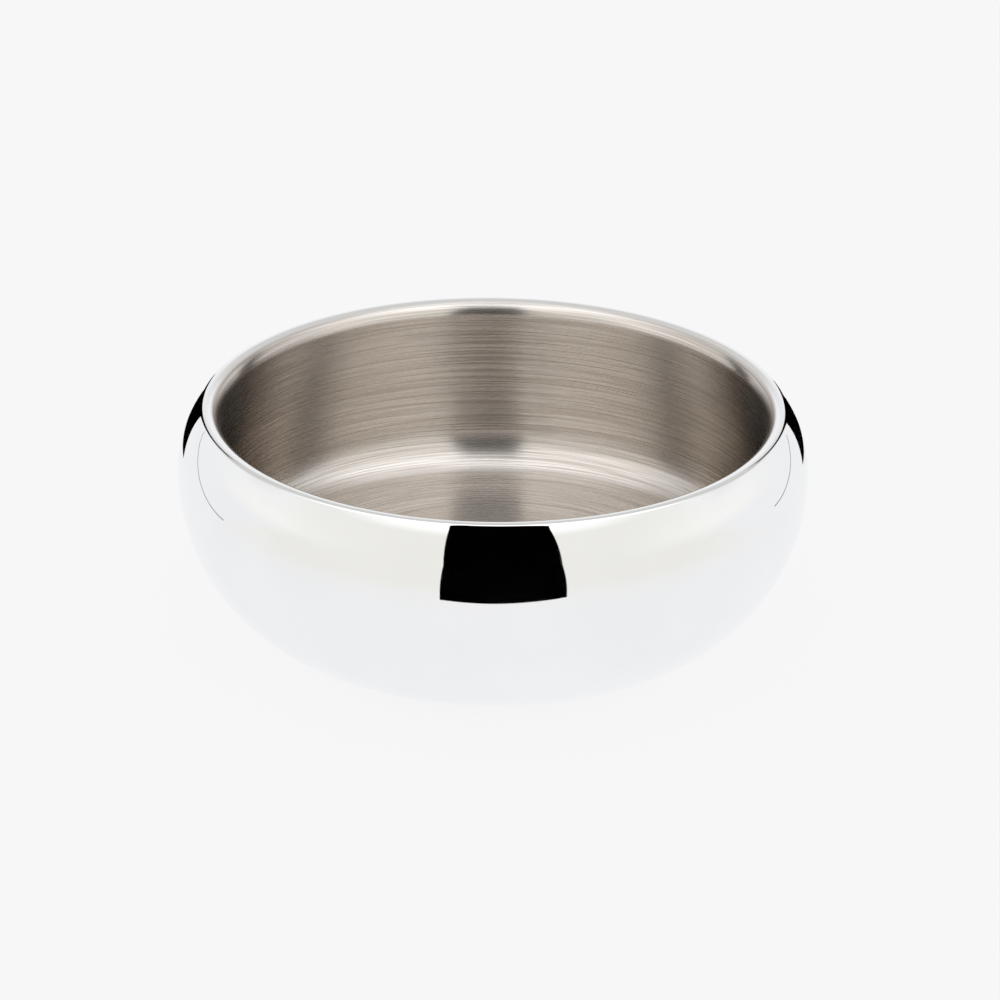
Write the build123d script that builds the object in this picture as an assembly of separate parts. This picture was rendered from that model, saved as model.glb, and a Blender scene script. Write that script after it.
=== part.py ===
from build123d import *
import os
from math import atan2, cos, radians, sin, tan

# Double-walled shaving bowl. Lengths in millimetres, angles in degrees.
# The origin is on the axis, at the level the bowl stands on. Every piece is round about the Z axis,
# and its section is drawn in the XZ plane with X as the distance from the axis.

# Sheet metal
SHEET = 0.7
WELD_WIDTH = 0.6

# Inner bowl
HEIGHT = 42.5
BOWL_DEPTH = 31.4
FLOOR_CORNER = 8.4

# Lip: a wide roll on the inside, then a tight corner down to the outer wall.
# The angles are tilts of the surface: 90 faces up and 0 faces straight out.
LIP_ROLL = 2.6
LIP_CORNER = 0.8
ROLL_END = 80
MOUTH_TILT = 38

# Outer shell: a round shoulder down to the belly, then nearly a quarter ellipse down to the base
BELLY_RADIUS = 55.0
SHOULDER_RADIUS = 18.1
LOWER_WIDTH = 28.9
BASE_TILT = -72
WALL_STATIONS = (MOUTH_TILT, 19, 0, -18, -36, -54, BASE_TILT)

# Base plate: a flat stand ring round a raised middle
STAND_WIDTH = 1.2
STAND_BEND = 1.2
STAND_SLOPE = 45
MIDDLE_RISE = 1.5

# Vent in the middle of the base plate, and its plug
VENT_RADIUS = 1.2
PLUG_HEAD_RADIUS = 2.2
PLUG_HEAD = 0.5
PLUG_EDGE = 0.3


def polar(radius, angle):
    """The point at this distance and angle from the origin of the section."""
    return Vector(radius * cos(radians(angle)), radius * sin(radians(angle)))


def revolved(outline):
    """The solid that a closed outline makes when it is turned round the Z axis."""
    return revolve(Plane.XZ * make_face(outline), Axis.Z)


# The outside is a chain of arcs that run into each other: shoulder, lip corner, lip roll, inner wall.
mouth_drop = LIP_ROLL * (1 - sin(radians(ROLL_END)))
mouth_drop += LIP_CORNER * (sin(radians(ROLL_END)) - sin(radians(MOUTH_TILT)))
belly_height = HEIGHT - mouth_drop - SHOULDER_RADIUS * sin(radians(MOUTH_TILT))
shoulder_centre = Vector(BELLY_RADIUS - SHOULDER_RADIUS, belly_height)
corner_centre = shoulder_centre + polar(SHOULDER_RADIUS - LIP_CORNER, MOUTH_TILT)
roll_centre = corner_centre + polar(LIP_CORNER - LIP_ROLL, ROLL_END)
inner_radius = roll_centre.X - LIP_ROLL


def wall_station(angle):
    """A point of the outer wall and the way the wall runs there, going down. The belly is at angle 0."""
    if angle > 0:
        centre, width, height = shoulder_centre, SHOULDER_RADIUS, SHOULDER_RADIUS
    else:
        centre, width, height = Vector(BELLY_RADIUS - LOWER_WIDTH, belly_height), LOWER_WIDTH, belly_height
    across = cos(radians(angle))
    up = sin(radians(angle))
    return centre + Vector(width * across, height * up), Vector(width * up, -height * across).normalized()


def outwards(direction):
    """The outer side of a wall that runs down in this direction."""
    return Vector(-direction.Y, direction.X)


def outer_wall(depth):
    """The outer wall's smooth curve from mouth to base joint, this deep in from its polished side."""
    stations = [wall_station(angle) for angle in WALL_STATIONS]
    points = [point - outwards(direction) * depth for point, direction in stations]
    return Spline(*points, tangents=[stations[0][1], stations[-1][1]], tangent_scalars=[1, 1])


def make_outer_shell():
    outside = outer_wall(0)
    inside = outer_wall(SHEET)
    mouth_edge = Line(outside @ 0, inside @ 0)
    base_edge = Line(outside @ 1, inside @ 1)
    return revolved([outside, inside, mouth_edge, base_edge])


def bowl_line(depth):
    """The inner bowl's curve from the middle of its floor over the lip, this deep in the metal."""
    floor_height = HEIGHT - BOWL_DEPTH - depth
    wall_radius = inner_radius + depth
    corner = FLOOR_CORNER + depth
    floor = Line((0, floor_height), (wall_radius - corner, floor_height))
    floor_corner = CenterArc((wall_radius - corner, floor_height + corner), corner, 270, 90)
    wall = Line((wall_radius, floor_height + corner), (wall_radius, roll_centre.Y))
    roll = CenterArc(roll_centre, LIP_ROLL - depth, 180, ROLL_END - 180)
    return [floor, floor_corner, wall, roll]


def make_inner_bowl():
    wet_side = bowl_line(0)
    dry_side = bowl_line(SHEET)
    middle = Line(wet_side[0] @ 0, dry_side[0] @ 0)
    lip_edge = Line(wet_side[-1] @ 1, dry_side[-1] @ 1)
    return revolved(wet_side + dry_side + [middle, lip_edge])


def make_rim_weld():
    """Fills the lip's corner between the roll's edge and the shell's mouth, ground flush."""
    sweep = ROLL_END - MOUTH_TILT
    face = CenterArc(corner_centre, LIP_CORNER, MOUTH_TILT, sweep)
    root = CenterArc(corner_centre, LIP_CORNER - SHEET, MOUTH_TILT, sweep)
    return revolved([face, root, Line(face @ 0, root @ 0), Line(face @ 1, root @ 1)])


# The base weld carries the lower wall straight on for its own width, and the base plate starts there.
shell_foot, base_direction = wall_station(BASE_TILT)
plate_edge = shell_foot + base_direction * WELD_WIDTH

# The plate's skirt is one arc from there that comes down level on the stand ring.
skirt_turn = atan2(-base_direction.Y, -base_direction.X)
stand_radius = plate_edge.X - plate_edge.Y / tan(skirt_turn / 2)


def make_base_weld():
    inward = -outwards(base_direction) * SHEET
    return revolved(Polyline(shell_foot, plate_edge, plate_edge + inward, shell_foot + inward, close=True))


def base_line(depth):
    """The base plate's curve from its welded edge to its vent, this high above its lower side."""
    start = plate_edge - outwards(base_direction) * depth
    skirt = TangentArc(start, (stand_radius, depth), tangent=base_direction)
    stand = Line(skirt @ 1, (stand_radius - STAND_WIDTH, depth))
    # Inside the stand ring the plate turns up, climbs a slope and levels off.
    turn = STAND_BEND - depth
    level = STAND_BEND + depth
    climb = MIDDLE_RISE - 2 * STAND_BEND * (1 - cos(radians(STAND_SLOPE)))
    slope = Vector(-climb / sin(radians(STAND_SLOPE)) * cos(radians(STAND_SLOPE)), climb)
    turn_centre = Vector(stand_radius - STAND_WIDTH, STAND_BEND)
    turn_up = CenterArc(turn_centre, turn, -90, -STAND_SLOPE)
    slope_line = Line(turn_up @ 1, turn_up @ 1 + slope)
    level_centre = slope_line @ 1 + polar(level, -90 - STAND_SLOPE)
    levelling = CenterArc(level_centre, level, 90 - STAND_SLOPE, STAND_SLOPE)
    middle = Line(levelling @ 1, (VENT_RADIUS, (levelling @ 1).Y))
    return [skirt, stand, turn_up, slope_line, levelling, middle]


def make_base_plate():
    lower = base_line(0)
    upper = base_line(SHEET)
    welded_edge = Line(lower[0] @ 0, upper[0] @ 0)
    vent_wall = Line(lower[-1] @ 1, upper[-1] @ 1)
    return revolved(lower + upper + [welded_edge, vent_wall])


def make_vent_plug():
    """A pin through the vent with a rounded head against the plate's lower side."""
    shank = Cylinder(VENT_RADIUS, SHEET, align=(Align.CENTER, Align.CENTER, Align.MIN))
    head = Cylinder(PLUG_HEAD_RADIUS, PLUG_HEAD, align=(Align.CENTER, Align.CENTER, Align.MAX))
    head = fillet(head.edges().group_by(Axis.Z)[0], PLUG_EDGE)
    return Pos(0, 0, MIDDLE_RISE) * (shank + head)


pieces = {
    "inner_bowl": make_inner_bowl(),
    "outer_shell": make_outer_shell(),
    "rim_weld": make_rim_weld(),
    "base_plate": make_base_plate(),
    "base_weld": make_base_weld(),
    "vent_plug": make_vent_plug(),
}

os.makedirs("parts", exist_ok=True)
for name, piece in pieces.items():
    export_step(piece, f"parts/{name}.step")
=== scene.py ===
import bpy
from math import atan2, cos, degrees, pi, radians, sin, tan
from mathutils import Matrix, Vector


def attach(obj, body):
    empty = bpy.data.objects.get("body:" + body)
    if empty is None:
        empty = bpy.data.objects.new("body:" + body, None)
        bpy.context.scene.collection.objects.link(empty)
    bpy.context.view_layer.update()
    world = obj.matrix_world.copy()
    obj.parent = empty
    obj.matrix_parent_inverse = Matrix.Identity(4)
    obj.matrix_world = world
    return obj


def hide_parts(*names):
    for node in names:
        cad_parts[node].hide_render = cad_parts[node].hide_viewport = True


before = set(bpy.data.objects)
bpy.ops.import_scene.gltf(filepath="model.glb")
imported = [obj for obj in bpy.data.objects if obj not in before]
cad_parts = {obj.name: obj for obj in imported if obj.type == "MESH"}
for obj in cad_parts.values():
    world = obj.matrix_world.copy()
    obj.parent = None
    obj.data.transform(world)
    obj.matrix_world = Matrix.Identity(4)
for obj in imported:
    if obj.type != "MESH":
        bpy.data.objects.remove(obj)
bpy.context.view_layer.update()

# Sizes are in metres. The bowl's axis is the Z axis and it stands at Z = 0.
# Section of the bowl, as the CAD pieces have it. Angles are tilts of the surface in degrees:
# 90 faces up and 0 faces straight out.
SHEET = 0.0007
HEIGHT = 0.0425
FLOOR_HEIGHT = 0.0111
FLOOR_CORNER = 0.0084
LIP_ROLL = 0.0026
LIP_CORNER = 0.0008
ROLL_END = 80
MOUTH_TILT = 38
BELLY_RADIUS = 0.055
SHOULDER_RADIUS = 0.0181
LOWER_WIDTH = 0.0289
BASE_TILT = -72
WELD_WIDTH = 0.0006
STAND_WIDTH = 0.0012
STAND_BEND = 0.0012
STAND_SLOPE = 45
MIDDLE_RISE = 0.0015
VENT_RADIUS = 0.0012

# Facets of the turned pieces: round the axis, degrees along an arc, and rings on the flat floor
TURN_STEPS = 288
ARC_STEP = 2.5
FLOOR_RINGS = 12
ON_AXIS = 1e-7

# Camera: a long lens, a little above the bowl and rolled by a fraction of a degree
CAMERA_DISTANCE = 1.33
CAMERA_TILT = radians(23.6)
CAMERA_ROLL = radians(0.63)
CAMERA_AIM = Vector((0.00126, 0.0, 0.0248))
CAMERA_LENS = 273.7

# Light tent round the bowl. The steel reflects all of it; the camera sees only the table.
TABLE_SIZE = 6.0
TABLE_DROP = 0.0001
REFLECTED_FLOOR_DROP = 0.00005
TABLE_GLOW = (0.886, 0.886, 0.888)
TABLE_PAINT = (0.045, 0.045, 0.045)
COOL_FLOOR = (0.912, 0.917, 0.940)
WARM_WALL = (0.890, 0.883, 0.852)
SIDE_WALL = (0.985, 0.985, 0.965)
BACK_WALL = (0.66, 0.655, 0.645)
CEILING_COLOUR = (1.42, 1.44, 1.46)

# Where one part of the tent fades into another. The floor's fades are in metres from the axis and along Y.
# The others are along Y or Z of the direction looked in, which has a length of 1. The bright sides fade by
# a power of its X.
FLOOR_FAR_FADE = (0.075, 0.180)
FLOOR_FRONT_FADE = (0.06, -0.10)
FRONT_FADE = (0.1, -0.3)
SIDE_NARROWNESS = 8.0
SIDE_RISE_FADE = (0.0, 0.2)
CEILING_FADE = (0.60, 0.85)
BACK_FADE = (0.0, 0.4)
BACK_RISE_FADE = (0.33, 0.53)

BLACK = (0.0, 0.0, 0.0)
WHITE = (1.0, 1.0, 1.0)

# Dark slot in the tent's front, that the camera looks through: its left and right at foot, waist and top
SLOT_PLACE = -0.109
SLOT_FOOT = (-0.0275, 0.0415)
SLOT_WAIST = (-0.0252, 0.0378)
SLOT_TOP = (-0.036, 0.0385)
WAIST_HEIGHT = 0.045
SLOT_HEIGHT = 0.300

# Dark opening beyond the slot: its left, right, foot and top. It widens what the bowl's inside sees as dark.
OPENING_PLACE = -0.200
OPENING_LEFT = -0.0515
OPENING_RIGHT = 0.0745
OPENING_FOOT = 0.060
OPENING_TOP = 0.410

# Dark gap behind the bowl on each side: from its outer foot to its inner foot
GAP_OUTER = (0.108, 0.098)
GAP_INNER = (0.071, 0.110)
GAP_HEIGHT = 0.132

# Seam of the tent's cloth on each side: its turns from sideways to the back in degrees, and its heights
TENT_RADIUS = 0.150
LEFT_SEAM_TURNS = (4, 34)
LEFT_SEAM_HEIGHTS = (0.003, 0.047)
RIGHT_SEAM_TURNS = (12, 37)
RIGHT_SEAM_HEIGHTS = (0.0135, 0.041)
SEAM_WIDTH = 0.0016
SEAM_STEPS = 24
SEAM_GREY = (0.25, 0.25, 0.26)

# Polished steel
POLISHED_COLOUR = (0.935, 0.935, 0.93)
SMUDGE_DIM = 0.985
SMUDGE_BRIGHT = 1.01
SMUDGE_SCALE = 60.0
POLISHED_ROUGHNESS = (0.018, 0.045)
LIP_ROUGHNESS = 0.07

# How far the lip's polish reaches inwards from the top of its roll, and the width of its soft edge
POLISH_REACH = 0.0015
POLISH_EDGE = 0.0006

# Brushed steel: smoother on its ridges than in its grooves, with painted shade on the wall: a dark specular
# tint at glancing angles
BRUSHED_DARK = (0.58, 0.525, 0.475)
BRUSHED_LIGHT = (0.88, 0.835, 0.79)
# Painted shade: the dark tint that the wall's reflections take at glancing angles
PAINTED_SHADE_TINT = (0.12, 0.09, 0.07)
SMOOTH_RIDGES = 0.22
ROUGH_GROOVES = 0.30
BRUSHING_STRETCH = 0.95
FINE_SHARE = 0.6

# Satin steel below
SATIN_DARK = (0.50, 0.49, 0.47)
SATIN_LIGHT = (0.62, 0.61, 0.59)
SATIN_ROUGHNESS = (0.26, 0.36)
SATIN_HEIGHT_SHARE = 0.4

# Marks round the axis: how often they change round it, and how many there are in a metre across them
WIPE_MARKS = (5.0, 260.0)
SHEET_WAVES = (7.0, 170.0)
FINE_BRUSHING = (2.6, 6000.0)
BROAD_BRUSHING = (1.3, 1800.0)
SATIN_MARKS = (8.0, 2600.0)

# Part of each noise's range that its colours or roughnesses are spread over
SMUDGE_RANGE = (0.35, 0.65)
WIPE_RANGE = (0.35, 0.75)
BRUSHING_COLOUR_RANGE = (0.38, 0.62)
BRUSHING_ROUGHNESS_RANGE = (0.36, 0.64)
SATIN_COLOUR_RANGE = (0.35, 0.65)
SATIN_ROUGHNESS_RANGE = (0.3, 0.7)

# Depth of the marks and how strongly they bend the surface
WAVE_BUMP = (0.00003, 0.35)
BRUSHING_BUMP = (0.00004, 0.22)
SATIN_BUMP = (0.00003, 0.3)


# ---------------------------------------------------------------- section of the bowl

def arc(centre, width, height, start, end):
    """Points of an arc of an ellipse, between two angles in degrees."""
    steps = max(2, round(abs(end - start) / ARC_STEP))
    angles = [radians(start + (end - start) * i / steps) for i in range(steps + 1)]
    return [(centre[0] + width * cos(a), centre[1] + height * sin(a)) for a in angles]


mouth_drop = LIP_ROLL * (1 - sin(radians(ROLL_END)))
mouth_drop += LIP_CORNER * (sin(radians(ROLL_END)) - sin(radians(MOUTH_TILT)))
belly_height = HEIGHT - mouth_drop - SHOULDER_RADIUS * sin(radians(MOUTH_TILT))
lower_x = BELLY_RADIUS - LOWER_WIDTH
shoulder_x = BELLY_RADIUS - SHOULDER_RADIUS
corner_reach = SHOULDER_RADIUS - LIP_CORNER
corner_x = shoulder_x + corner_reach * cos(radians(MOUTH_TILT))
corner_z = belly_height + corner_reach * sin(radians(MOUTH_TILT))
roll_x = corner_x - (LIP_ROLL - LIP_CORNER) * cos(radians(ROLL_END))
roll_z = corner_z - (LIP_ROLL - LIP_CORNER) * sin(radians(ROLL_END))
inner_radius = roll_x - LIP_ROLL


def bowl_side(depth):
    """The inner bowl's section from the middle of its floor over the lip, this deep in the metal."""
    wall = inner_radius + depth
    corner = FLOOR_CORNER + depth
    floor = FLOOR_HEIGHT - depth
    flat = [(wall - corner) * i / FLOOR_RINGS for i in range(FLOOR_RINGS)]
    points = [(x, floor) for x in flat]
    points += arc((wall - corner, floor + corner), corner, corner, -90, 0)
    points += arc((roll_x, roll_z), LIP_ROLL - depth, LIP_ROLL - depth, 180, ROLL_END)
    return points


def shell_side(depth):
    """The outer wall's section from the mouth to the base, this deep in the metal."""
    points = arc((shoulder_x, belly_height), SHOULDER_RADIUS - depth, SHOULDER_RADIUS - depth, MOUTH_TILT, 0)
    lower = arc((lower_x, belly_height), LOWER_WIDTH - depth, belly_height - depth, 0, BASE_TILT)
    return points + lower[1:]


def weld_side(depth):
    """The rim weld's section from the lip to the mouth, this deep in the metal."""
    return arc((corner_x, corner_z), LIP_CORNER - depth, LIP_CORNER - depth, ROLL_END, MOUTH_TILT)


# The base weld carries the lower wall straight on, and the base plate starts at its end.
foot_angle = radians(BASE_TILT)
shell_foot = Vector((lower_x + LOWER_WIDTH * cos(foot_angle), belly_height * (1 + sin(foot_angle))))
foot_way = Vector((LOWER_WIDTH * sin(foot_angle), -belly_height * cos(foot_angle))).normalized()
foot_outwards = Vector((-foot_way.y, foot_way.x))
plate_edge = shell_foot + foot_way * WELD_WIDTH
stand_radius = plate_edge.x - plate_edge.y / tan(atan2(-foot_way.y, -foot_way.x) / 2)
skirt_radius = (plate_edge.x - stand_radius) / foot_outwards.x


def base_weld_side(depth):
    """The base weld's section from the shell to the base plate, this deep in the metal."""
    inward = foot_outwards * -depth
    return [tuple(shell_foot + inward), tuple(plate_edge + inward)]


def base_side(depth):
    """The base plate's section from its welded edge to its vent, this high above its lower side."""
    skirt_start = degrees(atan2(foot_outwards.y, foot_outwards.x))
    points = arc((stand_radius, skirt_radius), skirt_radius - depth, skirt_radius - depth, skirt_start, -90)
    bend_x = stand_radius - STAND_WIDTH
    turn = STAND_BEND - depth
    points += arc((bend_x, STAND_BEND), turn, turn, -90, -90 - STAND_SLOPE)
    slope = radians(STAND_SLOPE)
    climb = MIDDLE_RISE - 2 * STAND_BEND * (1 - cos(slope))
    level_x = bend_x - 2 * STAND_BEND * sin(slope) - climb / tan(slope)
    level = STAND_BEND + depth
    points += arc((level_x, MIDDLE_RISE - STAND_BEND), level, level, 90 - STAND_SLOPE, 90)
    points.append((VENT_RADIUS, MIDDLE_RISE + depth))
    return points


def lathe_mesh(name, outside, inside):
    """The mesh that two sides of a thin wall, and the edges between them, make when turned round the Z axis.

    Each side starts and ends at the same place in the wall. The strips share no vertices, so that the
    wall's edges stay sharp under smooth shading.
    """
    vertices, faces = [], []

    def strip(points):
        """Adds a ring of vertices for each point, and the faces between the rings."""
        rows = []
        for x, z in points:
            first = len(vertices)
            if x < ON_AXIS:
                vertices.append((0.0, 0.0, z))
                rows.append([first] * TURN_STEPS)
                continue
            for i in range(TURN_STEPS):
                turn = 2 * pi * i / TURN_STEPS
                vertices.append((x * cos(turn), x * sin(turn), z))
            rows.append(list(range(first, first + TURN_STEPS)))
        for upper, lower in zip(rows, rows[1:]):
            for i in range(TURN_STEPS):
                j = (i + 1) % TURN_STEPS
                corners = [upper[i], lower[i], lower[j], upper[j]]
                faces.append(tuple(dict.fromkeys(corners)))

    strip(outside)
    strip(inside[::-1])
    if outside[0][0] > ON_AXIS:
        strip([inside[0], outside[0]])
    strip([outside[-1], inside[-1]])
    mesh = bpy.data.meshes.new(name)
    mesh.from_pydata(vertices, [], faces)
    mesh.update()
    mesh.shade_smooth()
    return mesh


def turned(name, outside, inside, material, node):
    """A fine round piece of this material, in place of a CAD node."""
    mesh = lathe_mesh(name, outside, inside)
    mesh.materials.append(material)
    piece = bpy.data.objects.new(name, mesh)
    bpy.context.collection.objects.link(piece)
    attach(piece, "root")
    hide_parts(node)


# ---------------------------------------------------------------- material helpers

def new_material(name):
    """An empty node material and its Principled shader."""
    material = bpy.data.materials.new(name)
    material.use_nodes = True
    return material, material.node_tree, material.node_tree.nodes["Principled BSDF"]


def add_node(tree, kind, **settings):
    """A node of this kind with these settings."""
    node = tree.nodes.new(kind)
    for key, value in settings.items():
        setattr(node, key, value)
    return node


def math_node(tree, operation, first, second=None):
    """A Math node whose inputs are sockets or numbers. Returns its output."""
    node = add_node(tree, "ShaderNodeMath", operation=operation)
    for slot, value in zip(node.inputs, (first, second)):
        if value is None:
            continue
        if isinstance(value, (int, float)):
            slot.default_value = value
        else:
            tree.links.new(value, slot)
    return node.outputs[0]


def ramp(tree, value, source, colours):
    """Turns a value into a colour, from the first to the second over this range. Returns the colour."""
    node = add_node(tree, "ShaderNodeValToRGB")
    for element, position, colour in zip(node.color_ramp.elements, source, colours):
        element.position = position
        element.color = (*colour, 1.0)
    tree.links.new(value, node.inputs[0])
    return node.outputs[0]


def blend(tree, factor, first, second):
    """Mixes two colours, each a socket or three numbers. Returns the mix."""
    node = add_node(tree, "ShaderNodeMix", data_type="RGBA")
    tree.links.new(factor, node.inputs["Factor"])
    for slot, value in zip((node.inputs["A"], node.inputs["B"]), (first, second)):
        if isinstance(value, tuple):
            slot.default_value = (*value, 1.0)
        else:
            tree.links.new(value, slot)
    return node.outputs["Result"]


def spread(tree, value, source, target, interpolation="LINEAR"):
    """Maps a value from one range to another, and keeps it there."""
    node = add_node(tree, "ShaderNodeMapRange", interpolation_type=interpolation)
    tree.links.new(value, node.inputs["Value"])
    node.inputs["From Min"].default_value, node.inputs["From Max"].default_value = source
    node.inputs["To Min"].default_value, node.inputs["To Max"].default_value = target
    return node.outputs[0]


def fade(tree, value, source):
    """Goes smoothly from 0 to 1 while the value crosses this range."""
    return spread(tree, value, source, (0.0, 1.0), "SMOOTHSTEP")


def noise(tree, vector, scale, detail, roughness=0.5):
    """Noise between 0 and 1, in the texture space that the vector gives."""
    node = add_node(tree, "ShaderNodeTexNoise")
    node.inputs["Scale"].default_value = scale
    node.inputs["Detail"].default_value = detail
    node.inputs["Roughness"].default_value = roughness
    tree.links.new(vector, node.inputs["Vector"])
    return node.outputs["Fac"]


def bump(tree, height, distance, strength):
    """A normal bent by this height, which is this many metres deep where it is 1."""
    node = add_node(tree, "ShaderNodeBump")
    node.inputs["Strength"].default_value = strength
    node.inputs["Distance"].default_value = distance
    tree.links.new(height, node.inputs["Height"])
    return node.outputs[0]


def object_place(tree):
    """The place of a point in the piece's own frame."""
    return add_node(tree, "ShaderNodeTexCoord").outputs["Object"]


def round_place(tree, height_share=1.0):
    """Cosine and sine of the turn, a measure along the section, distance from the axis, and height."""
    place = add_node(tree, "ShaderNodeSeparateXYZ")
    tree.links.new(object_place(tree), place.inputs[0])
    x, y, z = place.outputs
    square = math_node(tree, "ADD", math_node(tree, "MULTIPLY", x, x), math_node(tree, "MULTIPLY", y, y))
    radius = math_node(tree, "SQRT", square)
    turn = math_node(tree, "ARCTAN2", y, x)
    cosine = math_node(tree, "COSINE", turn)
    sine = math_node(tree, "SINE", turn)
    section = math_node(tree, "ADD", radius, math_node(tree, "MULTIPLY", z, height_share))
    return cosine, sine, section, radius, z


def lathe_space(tree, place, around, across):
    """Texture space for marks that run round the axis: slow round it, fast along the section."""
    cosine, sine, section = place[:3]
    joined = add_node(tree, "ShaderNodeCombineXYZ")
    tree.links.new(math_node(tree, "MULTIPLY", cosine, around), joined.inputs[0])
    tree.links.new(math_node(tree, "MULTIPLY", sine, around), joined.inputs[1])
    tree.links.new(math_node(tree, "MULTIPLY", section, across), joined.inputs[2])
    return joined.outputs[0]


# ---------------------------------------------------------------- steel

def polished_steel(name):
    """Mirror polish with the slow waves and faint wipe marks of a polished sheet."""
    material, tree, shader = new_material(name)
    shader.inputs["Metallic"].default_value = 1.0
    place = round_place(tree)
    smudge = noise(tree, object_place(tree), SMUDGE_SCALE, 4.0, 0.55)
    low = tuple(c * SMUDGE_DIM for c in POLISHED_COLOUR)
    high = tuple(c * SMUDGE_BRIGHT for c in POLISHED_COLOUR)
    tree.links.new(ramp(tree, smudge, SMUDGE_RANGE, (low, high)), shader.inputs["Base Color"])
    wipe = noise(tree, lathe_space(tree, place, *WIPE_MARKS), 1.0, 3.0)
    tree.links.new(spread(tree, wipe, WIPE_RANGE, POLISHED_ROUGHNESS), shader.inputs["Roughness"])
    waves = noise(tree, lathe_space(tree, place, *SHEET_WAVES), 1.0, 1.0)
    tree.links.new(bump(tree, waves, *WAVE_BUMP), shader.inputs["Normal"])
    return material


def brushing_grain(tree, place):
    """Height of the brushing: fine lines over broad ones."""
    fine = noise(tree, lathe_space(tree, place, *FINE_BRUSHING), 1.0, 2.0, 0.5)
    broad = noise(tree, lathe_space(tree, place, *BROAD_BRUSHING), 1.0, 2.0, 0.5)
    fine_part = math_node(tree, "MULTIPLY", fine, FINE_SHARE)
    broad_part = math_node(tree, "MULTIPLY", broad, 1.0 - FINE_SHARE)
    return math_node(tree, "ADD", fine_part, broad_part)


def brushed_bowl_steel():
    """Brushed round the inside, and polished over the lip."""
    material, tree, shader = new_material("brushed_bowl_steel")
    shader.inputs["Metallic"].default_value = 1.0
    place = round_place(tree)
    _, _, _, radius, height = place
    grain = brushing_grain(tree, place)
    # polish is 1 on the polished lip and 0 on the brushed wall, and brushed_part is the opposite
    polish_start = roll_x - POLISH_REACH
    polish = fade(tree, radius, (polish_start, polish_start + POLISH_EDGE))
    brushed_part = math_node(tree, "SUBTRACT", 1.0, polish)

    brushed = ramp(tree, grain, BRUSHING_COLOUR_RANGE, (BRUSHED_DARK, BRUSHED_LIGHT))
    tree.links.new(blend(tree, polish, brushed, POLISHED_COLOUR), shader.inputs["Base Color"])
    rough = spread(tree, grain, BRUSHING_ROUGHNESS_RANGE, (ROUGH_GROOVES, SMOOTH_RIDGES))
    brushed_rough = math_node(tree, "MULTIPLY", rough, brushed_part)
    polished_rough = math_node(tree, "MULTIPLY", polish, LIP_ROUGHNESS)
    tree.links.new(math_node(tree, "ADD", brushed_rough, polished_rough), shader.inputs["Roughness"])

    # Painted shade: a dark specular tint darkens the brushed wall at glancing angles, and the floor and the
    # lip keep a white tint and stay bright.
    above_floor = fade(tree, height, (FLOOR_HEIGHT, FLOOR_HEIGHT + FLOOR_CORNER))
    painted_shade_part = math_node(tree, "MULTIPLY", above_floor, brushed_part)
    tree.links.new(blend(tree, painted_shade_part, WHITE, PAINTED_SHADE_TINT), shader.inputs["Specular Tint"])

    # The grooves run round the axis, so reflections are drawn out across them, up and down the wall.
    shader.inputs["Anisotropic"].default_value = BRUSHING_STRETCH
    shader.inputs["Anisotropic Rotation"].default_value = 0.25
    tangent = add_node(tree, "ShaderNodeTangent", direction_type="RADIAL", axis="Z")
    tree.links.new(tangent.outputs[0], shader.inputs["Tangent"])
    depth = math_node(tree, "MULTIPLY", grain, brushed_part)
    tree.links.new(bump(tree, depth, *BRUSHING_BUMP), shader.inputs["Normal"])
    return material


def satin_steel(name):
    """Fine satin lines round the axis, for the weld, plate and plug underneath."""
    material, tree, shader = new_material(name)
    shader.inputs["Metallic"].default_value = 1.0
    # The height counts for less than the radius, so that the marks also cross the slope that rises inwards.
    place = round_place(tree, SATIN_HEIGHT_SHARE)
    grain = noise(tree, lathe_space(tree, place, *SATIN_MARKS), 1.0, 3.0, 0.6)
    colour = ramp(tree, grain, SATIN_COLOUR_RANGE, (SATIN_DARK, SATIN_LIGHT))
    tree.links.new(colour, shader.inputs["Base Color"])
    rough = spread(tree, grain, SATIN_ROUGHNESS_RANGE, SATIN_ROUGHNESS)
    tree.links.new(rough, shader.inputs["Roughness"])
    tree.links.new(bump(tree, grain, *SATIN_BUMP), shader.inputs["Normal"])
    return material


def dress(node_name, material):
    """Gives a CAD node this material in place of its packed one."""
    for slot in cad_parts[node_name].material_slots:
        slot.material = material


# ---------------------------------------------------------------- light tent

def glow(name, colour):
    """A material that only shines, in this colour."""
    material = bpy.data.materials.new(name)
    material.use_nodes = True
    tree = material.node_tree
    tree.nodes.clear()
    emission = add_node(tree, "ShaderNodeEmission")
    emission.inputs["Color"].default_value = (*colour, 1)
    output = add_node(tree, "ShaderNodeOutputMaterial")
    tree.links.new(emission.outputs[0], output.inputs["Surface"])
    return material


def tent_piece(name, vertices, faces, material):
    """A mesh that belongs to the staging and not to the bowl."""
    mesh = bpy.data.meshes.new(name)
    mesh.from_pydata(vertices, [], faces)
    mesh.materials.append(material)
    piece = bpy.data.objects.new(name, mesh)
    bpy.context.collection.objects.link(piece)
    return piece


def flat_piece(name, corners, material):
    """A flat piece of staging from its corners."""
    return tent_piece(name, corners, [tuple(range(len(corners)))], material)


def reflected_only(piece):
    """Only reflections show this piece: it casts no light or shadow, and the camera looks through it."""
    piece.visible_camera = False
    piece.visible_diffuse = False
    piece.visible_shadow = False
    piece.visible_transmission = False


def square(height):
    """Corners of the table at this height."""
    half = TABLE_SIZE / 2
    return [(-half, -half, height), (half, -half, height), (half, half, height), (-half, half, height)]


def make_table():
    """The white table, which is all that the camera sees round the bowl."""
    material, _, shader = new_material("table_white")
    shader.inputs["Base Color"].default_value = (*TABLE_PAINT, 1)
    shader.inputs["Roughness"].default_value = 0.9
    shader.inputs["Specular IOR Level"].default_value = 0.0
    shader.inputs["Emission Color"].default_value = (*TABLE_GLOW, 1)
    shader.inputs["Emission Strength"].default_value = 1.0
    flat_piece("table", square(-TABLE_DROP), material)


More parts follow.
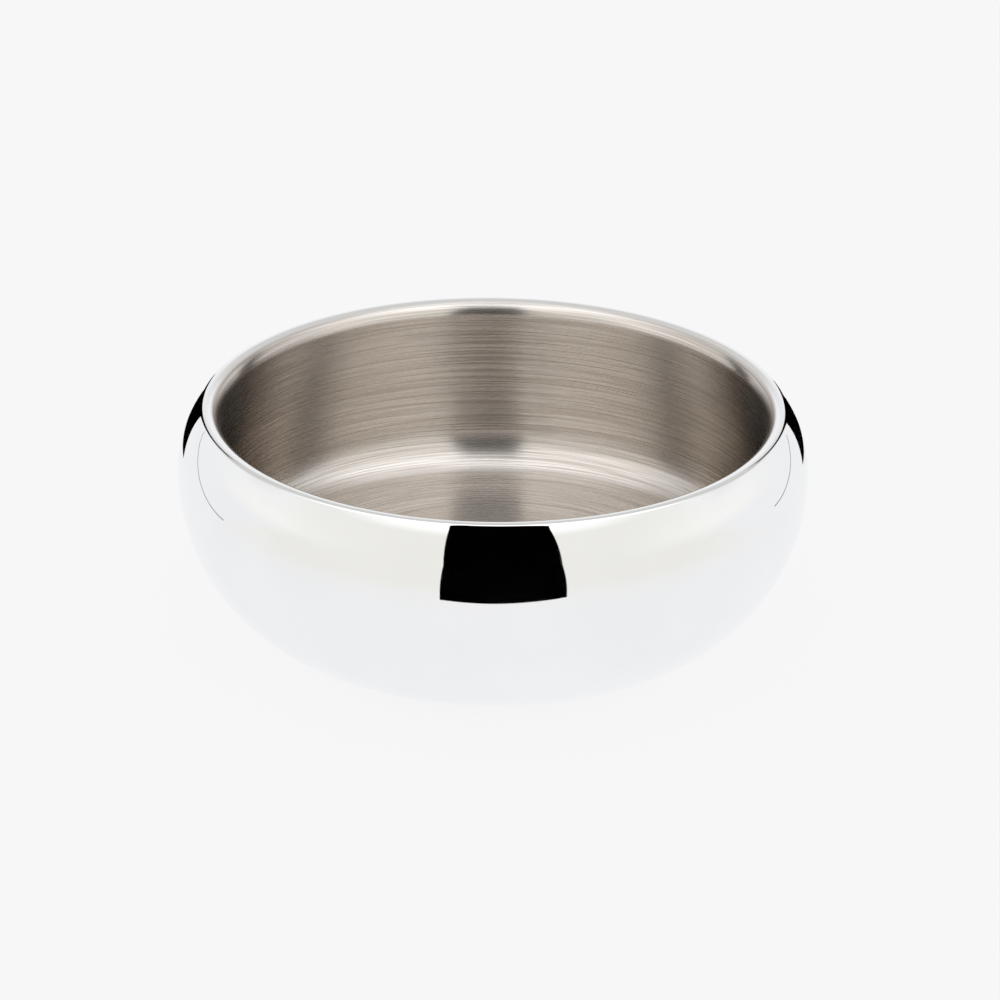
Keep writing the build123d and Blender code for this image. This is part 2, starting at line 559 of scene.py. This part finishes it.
def make_reflected_floor():
    """The table as the steel sees it: warmer far in front."""
    material = glow("reflected_floor", BLACK)
    tree = material.node_tree
    place = object_place(tree)
    length = add_node(tree, "ShaderNodeVectorMath", operation="LENGTH")
    tree.links.new(place, length.inputs[0])
    far = fade(tree, length.outputs["Value"], FLOOR_FAR_FADE)
    parts = add_node(tree, "ShaderNodeSeparateXYZ")
    tree.links.new(place, parts.inputs[0])
    front = fade(tree, parts.outputs[1], FLOOR_FRONT_FADE)
    emission = tree.nodes["Emission"]
    warm = math_node(tree, "MULTIPLY", far, front)
    tree.links.new(blend(tree, warm, COOL_FLOOR, WARM_WALL), emission.inputs["Color"])
    reflected_only(flat_piece("reflected_floor", square(-REFLECTED_FLOOR_DROP), material))


def make_slot():
    """The dark slot and the opening beyond it."""
    black = glow("slot_black", BLACK)
    levels = ((SLOT_FOOT, 0.0), (SLOT_WAIST, WAIST_HEIGHT), (SLOT_TOP, SLOT_HEIGHT))
    left_side = [(sides[0], SLOT_PLACE, height) for sides, height in levels]
    right_side = [(sides[1], SLOT_PLACE, height) for sides, height in levels]
    reflected_only(flat_piece("slot", left_side[::-1] + right_side, black))
    low = [(OPENING_LEFT, OPENING_PLACE, OPENING_FOOT), (OPENING_RIGHT, OPENING_PLACE, OPENING_FOOT)]
    high = [(OPENING_RIGHT, OPENING_PLACE, OPENING_TOP), (OPENING_LEFT, OPENING_PLACE, OPENING_TOP)]
    reflected_only(flat_piece("opening", low + high, black))


def make_side_gaps():
    """The upright dark gap behind the bowl on each side."""
    black = glow("gap_black", BLACK)
    for side in (-1, 1):
        outer = (side * GAP_OUTER[0], GAP_OUTER[1])
        inner = (side * GAP_INNER[0], GAP_INNER[1])
        corners = [(*outer, 0.0), (*inner, 0.0), (*inner, GAP_HEIGHT), (*outer, GAP_HEIGHT)]
        reflected_only(flat_piece("side_gap", corners, black))


def make_seam(name, side, turns, heights):
    """A thin upright ribbon round the tent, that climbs faster and faster towards the back."""
    lower = []
    for i in range(SEAM_STEPS + 1):
        share = i / SEAM_STEPS
        turn = radians(turns[0] + (turns[1] - turns[0]) * share)
        climb = (heights[1] - heights[0]) * share ** 2
        lower.append(Vector((side * TENT_RADIUS * cos(turn), TENT_RADIUS * sin(turn), heights[0] + climb)))
    upper = [point + Vector((0, 0, SEAM_WIDTH)) for point in lower]
    count = len(lower)
    faces = [(i, i + 1, count + i + 1, count + i) for i in range(count - 1)]
    reflected_only(tent_piece(name, lower + upper, faces, glow(name + "_grey", SEAM_GREY)))


def make_world():
    """The tent: warm in front, cool behind, darker high up behind, bright at the sides, brightest above."""
    world = bpy.data.worlds.new("tent")
    bpy.context.scene.world = world
    world.use_nodes = True
    tree = world.node_tree
    way = add_node(tree, "ShaderNodeSeparateXYZ")
    tree.links.new(add_node(tree, "ShaderNodeTexCoord").outputs["Generated"], way.inputs[0])
    front = fade(tree, way.outputs[1], FRONT_FADE)
    walls = blend(tree, front, COOL_FLOOR, WARM_WALL)
    sideways = math_node(tree, "POWER", math_node(tree, "ABSOLUTE", way.outputs[0]), SIDE_NARROWNESS)
    raised = fade(tree, way.outputs[2], SIDE_RISE_FADE)
    walls = blend(tree, math_node(tree, "MULTIPLY", sideways, raised), walls, SIDE_WALL)
    top = fade(tree, way.outputs[2], CEILING_FADE)
    walls = blend(tree, top, walls, CEILING_COLOUR)
    behind = fade(tree, way.outputs[1], BACK_FADE)
    upper = fade(tree, way.outputs[2], BACK_RISE_FADE)
    back = math_node(tree, "MULTIPLY", behind, upper)
    tree.links.new(blend(tree, back, walls, BACK_WALL), tree.nodes["Background"].inputs["Color"])


def make_camera():
    """The camera in front of the bowl, looking a little down at it."""
    data = bpy.data.cameras.new("camera")
    data.lens = CAMERA_LENS
    data.sensor_width = 36.0
    data.clip_start = 0.01
    camera = bpy.data.objects.new("camera", data)
    bpy.context.collection.objects.link(camera)
    offset = Vector((0, -cos(CAMERA_TILT), sin(CAMERA_TILT))) * CAMERA_DISTANCE
    turn = Matrix.Rotation(pi / 2 - CAMERA_TILT, 4, "X") @ Matrix.Rotation(CAMERA_ROLL, 4, "Z")
    camera.matrix_world = Matrix.Translation(CAMERA_AIM + offset) @ turn
    bpy.context.scene.camera = camera


# ---------------------------------------------------------------- the scene

polished_shell = polished_steel("polished_shell_steel")
polished_weld = polished_steel("polished_weld_steel")
satin_base = satin_steel("satin_base_steel")
satin_bead = satin_steel("base_bead_steel")

turned("bowl_inside", bowl_side(0), bowl_side(SHEET), brushed_bowl_steel(), "inner_bowl")
turned("shell", shell_side(0), shell_side(SHEET), polished_shell, "outer_shell")
turned("lip_weld", weld_side(0), weld_side(SHEET), polished_weld, "rim_weld")
turned("base", base_side(0), base_side(SHEET), satin_base, "base_plate")
turned("base_bead", base_weld_side(0), base_weld_side(SHEET), satin_bead, "base_weld")
dress("vent_plug", satin_steel("plug_turned_steel"))

make_table()
make_reflected_floor()
make_slot()
make_side_gaps()
make_seam("left_seam", -1, LEFT_SEAM_TURNS, LEFT_SEAM_HEIGHTS)
make_seam("right_seam", 1, RIGHT_SEAM_TURNS, RIGHT_SEAM_HEIGHTS)
make_world()
make_camera()
bpy.context.scene.view_settings.view_transform = "Standard"
